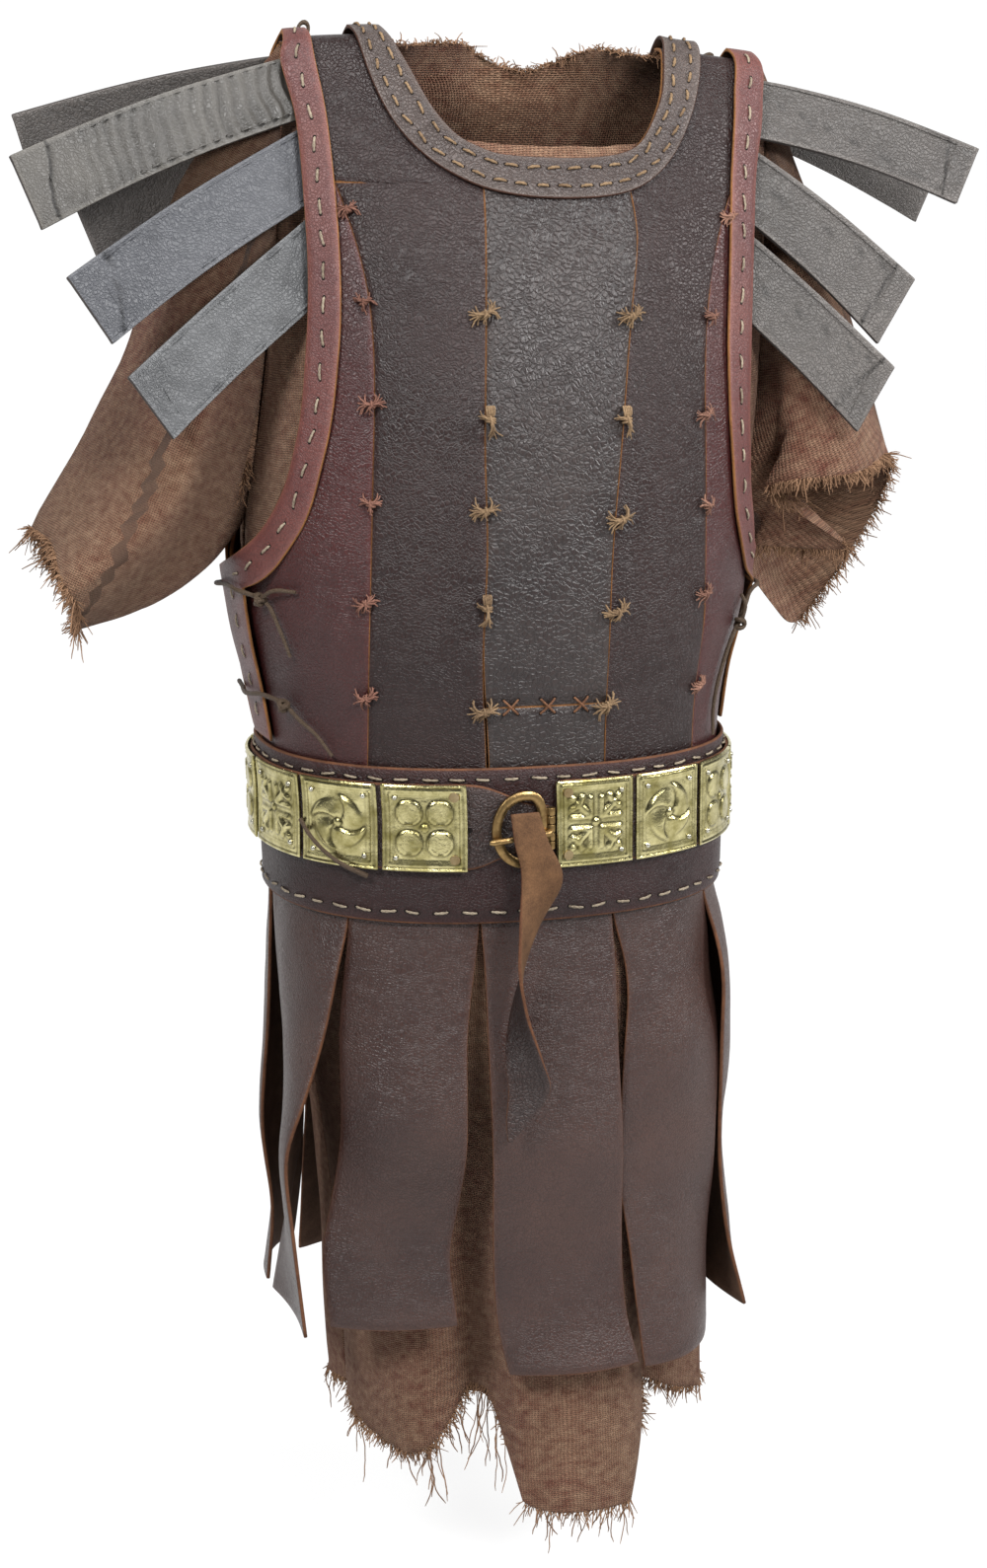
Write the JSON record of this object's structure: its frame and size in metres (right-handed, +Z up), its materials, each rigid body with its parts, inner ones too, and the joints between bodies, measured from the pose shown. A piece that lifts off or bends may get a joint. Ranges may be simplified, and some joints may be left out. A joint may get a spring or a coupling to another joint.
{
  "type": "leather subarmalis",
  "caption": "Sleeveless leather body garment with shoulder and skirt strips over a short-sleeved coarse cloth tunic, worn with a brass-plated belt.",
  "frame": {"origin": "middle of the shoulder line, where the wearer's shoulders or a stand hold the garment", "axes": "+Z up, the wearer's front faces -Y, the wearer's right arm is at -X"},
  "size_m": [0.7002, 0.2983, 1.0702],
  "materials": {
    "brown_leather": "grained, satin",
    "dark_leather": "grained, satin",
    "burgundy_leather": "smooth, satin",
    "pewter_leather": "pewter-coloured, hammered or grained",
    "strap_leather": "smooth face, suede back",
    "brass": "polished, worn",
    "cloth": "coarse plain weave",
    "thong": "matte"
  },
  "bodies": {
    "root": {"tunic_front": "cloth", "tunic_front_lower": "cloth", "tunic_back": "cloth", "tunic_sleeve_left": "cloth", "tunic_sleeve_right": "cloth", "panel_centre": "dark_leather", "panel_centre_lower": "dark_leather", "panel_brown_left": "brown_leather", "panel_brown_right": "brown_leather", "panel_side_left": "burgundy_leather", "panel_side_right": "burgundy_leather", "panel_back": "brown_leather", "neck_binding": "dark_leather", "armhole_binding_left": "burgundy_leather", "armhole_binding_right": "burgundy_leather", "waistband": "burgundy_leather", "belt_strap": "strap_leather", "belt_plate_01": "brass", "belt_plate_02": "brass", "belt_plate_03": "brass", "belt_plate_04": "brass", "belt_plate_05": "brass", "belt_plate_06": "brass", "belt_plate_07": "brass", "belt_plate_08": "brass", "belt_plate_09": "brass", "belt_plate_10": "brass", "belt_plate_11": "brass", "belt_plate_12": "brass", "belt_plate_13": "brass", "belt_plate_14": "brass", "belt_plate_15": "brass", "buckle_ring": "brass", "buckle_tongue": "brass", "belt_tail": "strap_leather", "skirt_strip_1": "brown_leather", "skirt_strip_2": "brown_leather", "skirt_strip_3": "brown_leather", "skirt_strip_4": "brown_leather", "skirt_strip_5": "brown_leather", "skirt_strip_6": "brown_leather", "skirt_strip_7": "brown_leather", "skirt_strip_8": "brown_leather", "skirt_strip_9": "brown_leather", "shoulder_strip_l1": "pewter_leather", "shoulder_strip_l2": "pewter_leather", "shoulder_strip_l3": "pewter_leather", "shoulder_strip_l4": "pewter_leather", "shoulder_strip_l5": "pewter_leather", "shoulder_strip_r1": "pewter_leather", "shoulder_strip_r2": "pewter_leather", "shoulder_strip_r3": "pewter_leather", "shoulder_strip_r4": "pewter_leather", "shoulder_strip_r5": "pewter_leather", "lace_left_upper": "thong", "lace_left_lower": "thong", "lace_right": "thong", "lace_left_end": "thong", "shoulder_loop_left": "thong", "shoulder_loop_right": "thong"}
  },
  "joints": []
}
